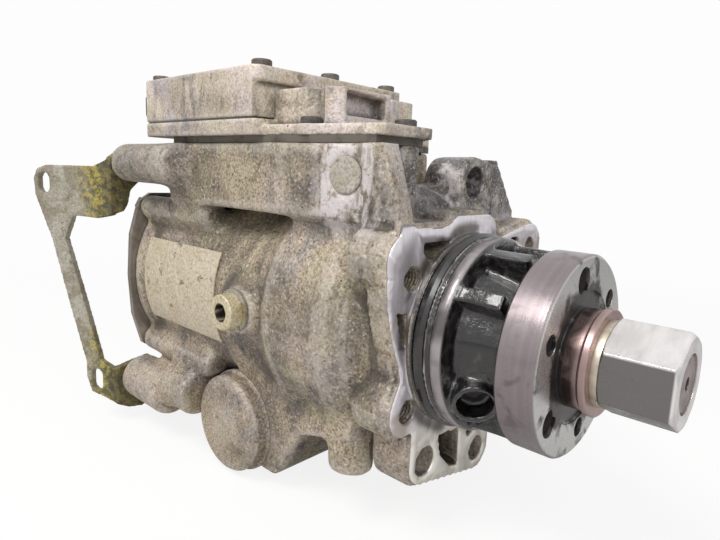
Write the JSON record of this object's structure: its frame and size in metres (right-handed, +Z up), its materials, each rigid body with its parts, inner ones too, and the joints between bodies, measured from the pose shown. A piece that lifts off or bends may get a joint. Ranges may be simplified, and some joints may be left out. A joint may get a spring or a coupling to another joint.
{
  "type": "diesel injection pump",
  "caption": "Electronically controlled radial piston distributor injection pump with flanged cast housing, drive hub, control unit and rear support bracket.",
  "frame": {"origin": "where the drive shaft axis meets the machined face of the mounting flange", "axes": "+X along the shaft towards the drive end, +Z up towards the control unit"},
  "size_m": [0.3375, 0.1762, 0.208],
  "materials": {
    "cast_aluminium": "cast, weathered",
    "machined_aluminium": "machined",
    "turned_steel": "turned",
    "hardened_steel": "ground",
    "dark_steel": "blackened",
    "plated_steel": "zinc plated, dirty",
    "bronze": "plain",
    "seal_rubber": "smooth",
    "black_plastic": "moulded",
    "board_green": "lacquered",
    "copper_coil": "wound",
    "plate_beige": "matt"
  },
  "bodies": {
    "pump_body": {"pump_housing": "cast_aluminium", "pilot_o_ring": "seal_rubber", "core_plug": "plated_steel", "side_plug": "plated_steel", "side_plug_washer": "plated_steel", "nameplate": "plate_beige", "shaft_seal": "seal_rubber", "shaft_bushes": "bronze", "port_plate": "machined_aluminium", "eccentric_ring": "hardened_steel", "distributor_sleeve": "hardened_steel", "distributor_head": "hardened_steel", "head_o_ring": "seal_rubber", "head_plate": "turned_steel", "head_plate_bolts": "plated_steel", "solenoid_shell": "turned_steel", "solenoid_coil": "copper_coil", "delivery_holders": "dark_steel", "delivery_springs": "hardened_steel", "timing_spring": "hardened_steel", "timing_caps": "cast_aluminium", "timing_cap_seals": "seal_rubber", "timing_solenoid": "plated_steel", "overflow_valve": "plated_steel", "unit_gasket": "seal_rubber", "unit_base": "cast_aluminium", "unit_seal": "seal_rubber", "unit_cover": "cast_aluminium", "unit_cover_screws": "plated_steel", "unit_base_screws": "plated_steel", "circuit_board": "board_green", "connector_shell": "black_plastic", "connector_pins": "plated_steel", "rear_bracket": "plated_steel", "bracket_bolts": "plated_steel"},
    "drive_line": {"drive_shaft": "turned_steel", "drive_key": "hardened_steel", "drive_hub": "turned_steel", "hub_washer": "turned_steel", "hub_nut": "dark_steel", "vane_rotor": "hardened_steel", "vanes": "hardened_steel", "angle_wheel": "hardened_steel", "rollers": "hardened_steel", "roller_shoes": "hardened_steel", "plungers": "hardened_steel", "distributor_rotor": "hardened_steel"},
    "metering_needle": {"quantity_needle": "hardened_steel", "needle_armature": "machined_aluminium"},
    "cam": {"cam_ring": "hardened_steel", "timing_pin": "hardened_steel", "sensor_sleeve": "hardened_steel", "angle_sensor": "black_plastic"},
    "piston": {"timing_piston": "hardened_steel"},
    "valve_1": {"delivery_valve_1": "hardened_steel"},
    "valve_2": {"delivery_valve_2": "hardened_steel"},
    "valve_3": {"delivery_valve_3": "hardened_steel"},
    "valve_4": {"delivery_valve_4": "hardened_steel"}
  },
  "joints": [
    {"name": "drive_turn", "type": "hinge", "parent": "pump_body", "child": "drive_line", "pos_m": [0, 0, 0], "axis": [1, 0, 0], "continuous": true},
    {"name": "needle_lift", "type": "slide", "parent": "drive_line", "child": "metering_needle", "axis": [-1, 0, 0], "range_m": [0, 0.0003]},
    {"name": "cam_advance", "type": "hinge", "parent": "pump_body", "child": "cam", "pos_m": [-0.107, 0, 0], "axis": [1, 0, 0], "range_deg": [-6, 6]},
    {"name": "piston_slide", "type": "slide", "parent": "pump_body", "child": "piston", "axis": [0, 1, 0], "range_m": [-0.00703, 0.00703], "deforming": ["timing_spring"]},
    {"name": "valve_1_lift", "type": "slide", "parent": "pump_body", "child": "valve_1", "axis": [-1, 0, 0], "range_m": [0, 0.001]},
    {"name": "valve_2_lift", "type": "slide", "parent": "pump_body", "child": "valve_2", "axis": [-1, 0, 0], "range_m": [0, 0.001]},
    {"name": "valve_3_lift", "type": "slide", "parent": "pump_body", "child": "valve_3", "axis": [-1, 0, 0], "range_m": [0, 0.001]},
    {"name": "valve_4_lift", "type": "slide", "parent": "pump_body", "child": "valve_4", "axis": [-1, 0, 0], "range_m": [0, 0.001]}
  ],
  "couplings": [
    {"joint": "piston_slide", "follows": "cam_advance", "m_per_rad": 0.067}
  ]
}
